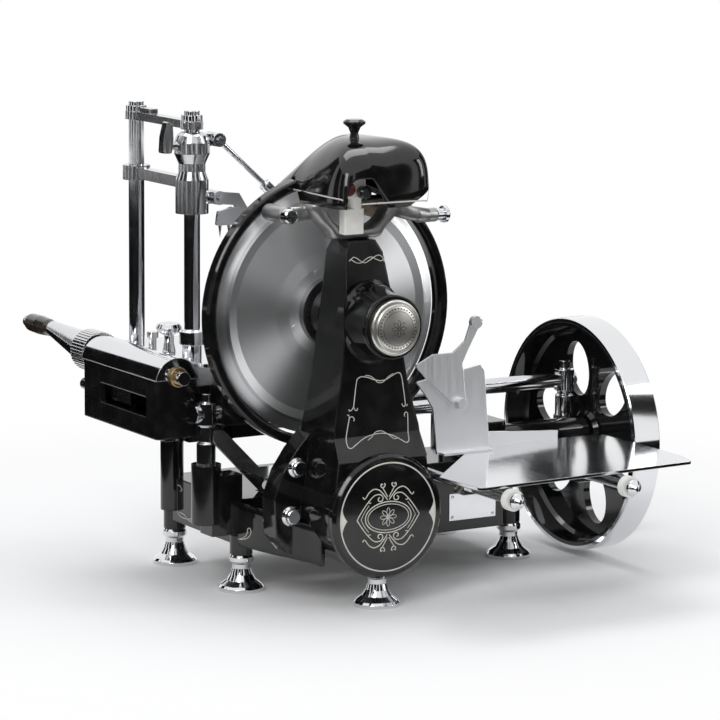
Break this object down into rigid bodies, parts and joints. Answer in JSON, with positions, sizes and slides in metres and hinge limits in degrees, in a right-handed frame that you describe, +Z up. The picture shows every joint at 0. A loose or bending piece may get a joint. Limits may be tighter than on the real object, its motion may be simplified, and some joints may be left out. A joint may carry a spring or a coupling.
{
  "type": "hand crank meat slicer",
  "caption": "Hand cranked meat slicer with a spoked flywheel, round blade in a guard ring, sliding carriage with screw feed, meat holder, hood sharpener and slice plate.",
  "frame": {"origin": "on the floor, midway between the four main feet", "axes": "+X the way the carriage travels towards the flywheel, -Y the side the slices fall to, +Z up"},
  "size_m": [0.6102, 0.652, 0.478],
  "materials": {
    "black_enamel": "gloss",
    "chrome": "polished",
    "polished_steel": "polished",
    "machined_steel": "satin",
    "grey_bracket": "satin",
    "stone_white": "matte",
    "grinding_wheel": "matte",
    "button_red": "gloss",
    "button_black": "gloss",
    "nylon_white": "satin",
    "bronze": "satin",
    "dark_grip": "satin"
  },
  "bodies": {
    "frame": {"base_casting": "black_enamel", "feet": "chrome", "gear_column": "black_enamel", "round_cover": "black_enamel", "hub_cap": "chrome", "blade_bearings": "machined_steel", "shaft_bushes": "bronze", "front_rail": "chrome", "rear_rail": "chrome", "rail_posts": "chrome", "blade_guard_ring": "black_enamel", "sharpener_bracket": "grey_bracket", "stone_housing": "stone_white", "receiving_plate": "polished_steel", "plate_rods": "polished_steel", "plate_spacers": "nylon_white", "acorn_nuts": "chrome", "deflector_plate": "polished_steel", "drip_tray": "polished_steel", "column_bolts": "chrome", "drive_chain": "machined_steel"},
    "flywheel_body": {"flywheel": "black_enamel", "flywheel_shaft": "machined_steel", "crank_spindle": "chrome"},
    "handle_body": {"crank_handle": "dark_grip"},
    "lay_body": {"lay_shaft": "machined_steel", "bevel_pinion": "machined_steel"},
    "cross_body": {"cross_shaft": "machined_steel", "bevel_gear": "machined_steel", "drive_sprocket": "machined_steel", "crank_disc": "machined_steel"},
    "blade_body": {"blade": "polished_steel", "blade_shaft": "machined_steel", "blade_sprocket": "machined_steel"},
    "rocker_body": {"rocker_lever": "machined_steel"},
    "carriage_body": {"carriage": "black_enamel", "screw_cover": "chrome", "feed_bush": "bronze"},
    "screw_body": {"feed_screw": "polished_steel", "feed_dial": "polished_steel"},
    "grip_body": {"feed_grip": "dark_grip"},
    "table_body": {"meat_table": "polished_steel", "guide_columns": "chrome", "column_bridge": "polished_steel", "bridge_nuts": "chrome"},
    "table_knob_body": {"table_knob": "chrome"},
    "yoke_body": {"holder_yoke": "polished_steel"},
    "clamp_body": {"clamp_lever": "polished_steel"},
    "rod_body": {"press_rod": "polished_steel"},
    "pusher_body": {"pusher_arm": "polished_steel", "spike_plate": "polished_steel"},
    "hood_body": {"sharpener_hood": "black_enamel", "hood_knob": "black_enamel"},
    "grinding_stone_body": {"grinding_stone": "grinding_wheel"},
    "honing_stone_body": {"honing_stone": "grinding_wheel"},
    "grinding_button_body": {"grinding_button": "button_red"},
    "honing_button_body": {"honing_button": "button_black"},
    "left_knob_body": {"guard_knob_left": "chrome"},
    "right_knob_body": {"guard_knob_right": "chrome"},
    "lever_body": {"deflector_lever": "chrome"}
  },
  "joints": [
    {"name": "flywheel_spin", "type": "hinge", "parent": "frame", "child": "flywheel_body", "pos_m": [0.238, -0.087, 0.127], "axis": [1, 0, 0], "continuous": true},
    {"name": "handle_spin", "type": "hinge", "parent": "flywheel_body", "child": "handle_body", "pos_m": [0.31, 0.00959, 0.10112], "axis": [1, 0, 0], "continuous": true},
    {"name": "lay_spin", "type": "hinge", "parent": "frame", "child": "lay_body", "pos_m": [0.03, -0.087, 0.093], "axis": [1, 0, 0], "continuous": true},
    {"name": "cross_spin", "type": "hinge", "parent": "frame", "child": "cross_body", "pos_m": [-0.078, -0.1, 0.093], "axis": [0, 1, 0], "continuous": true},
    {"name": "blade_spin", "type": "hinge", "parent": "frame", "child": "blade_body", "pos_m": [-0.078, -0.1, 0.281], "axis": [0, 1, 0], "continuous": true},
    {"name": "carriage_slide", "type": "slide", "parent": "frame", "child": "carriage_body", "axis": [1, 0, 0], "range_m": [0, 0.19]},
    {"name": "rocker_swing", "type": "hinge", "parent": "frame", "child": "rocker_body", "pos_m": [-0.078, -0.049, 0.056], "axis": [0, 1, 0], "range_deg": [0, 90]},
    {"name": "screw_turn", "type": "hinge", "parent": "carriage_body", "child": "screw_body", "pos_m": [-0.224, 0.02, 0.219], "axis": [0, 1, 0], "range_deg": [-2522, 434]},
    {"name": "grip_spin", "type": "hinge", "parent": "screw_body", "child": "grip_body", "pos_m": [-0.224, 0.25, 0.229], "axis": [0, 1, 0], "continuous": true},
    {"name": "table_slide", "type": "slide", "parent": "carriage_body", "child": "table_body", "axis": [0, 1, 0], "range_m": [-0.006, 0.035]},
    {"name": "table_knob_turn", "type": "hinge", "parent": "table_body", "child": "table_knob_body", "pos_m": [-0.19, 0.026, 0.24], "axis": [0, 0, 1], "range_deg": [0, 360]},
    {"name": "yoke_slide", "type": "slide", "parent": "table_body", "child": "yoke_body", "axis": [0, 0, 1], "range_m": [-0.11, 0.002]},
    {"name": "clamp_turn", "type": "hinge", "parent": "yoke_body", "child": "clamp_body", "pos_m": [-0.21, -0.018, 0.444], "axis": [1, 0, 0], "range_deg": [-60, 25]},
    {"name": "rod_swing", "type": "hinge", "parent": "yoke_body", "child": "rod_body", "pos_m": [-0.163, -0.029, 0.449], "axis": [0, 1, 0], "range_deg": [-50, 12]},
    {"name": "pusher_swing", "type": "hinge", "parent": "yoke_body", "child": "pusher_body", "pos_m": [-0.163, -0.029, 0.391], "axis": [0, 1, 0], "range_deg": [-25, 25]},
    {"name": "hood_lift", "type": "slide", "parent": "frame", "child": "hood_body", "axis": [0, 0, 1], "range_m": [0, 0.06]},
    {"name": "grinding_stone_spin", "type": "hinge", "parent": "frame", "child": "grinding_stone_body", "pos_m": [-0.1134, -0.12, 0.385], "axis": [0, 1, 0], "continuous": true},
    {"name": "honing_stone_spin", "type": "hinge", "parent": "frame", "child": "honing_stone_body", "pos_m": [-0.0426, -0.12, 0.385], "axis": [0, 1, 0], "continuous": true},
    {"name": "grinding_button_press", "type": "slide", "parent": "frame", "child": "grinding_button_body", "axis": [0, 1, 0], "range_m": [0, 0.004], "stiffness_N_per_m": 200},
    {"name": "honing_button_press", "type": "slide", "parent": "frame", "child": "honing_button_body", "axis": [0, 1, 0], "range_m": [0, 0.004], "stiffness_N_per_m": 200},
    {"name": "left_knob_turn", "type": "hinge", "parent": "frame", "child": "left_knob_body", "pos_m": [-0.151, -0.14, 0.385], "axis": [0, 1, 0], "range_deg": [0, 360]},
    {"name": "right_knob_turn", "type": "hinge", "parent": "frame", "child": "right_knob_body", "pos_m": [0.02, -0.141, 0.376], "axis": [1, 0, 0], "range_deg": [0, 360]},
    {"name": "deflector_swing", "type": "hinge", "parent": "frame", "child": "lever_body", "pos_m": [0.025, -0.185, 0.192], "axis": [0, 1, 0], "range_deg": [-8, 35]}
  ],
  "couplings": [
    {"joint": "lay_spin", "follows": "flywheel_spin", "ratio": -1},
    {"joint": "cross_spin", "follows": "flywheel_spin", "ratio": -1},
    {"joint": "blade_spin", "follows": "flywheel_spin", "ratio": -2.5},
    {"joint": "rocker_swing", "follows": "carriage_slide", "rad_per_m": 8.194},
    {"joint": "screw_turn", "follows": "table_slide", "rad_per_m": -1256.6}
  ]
}
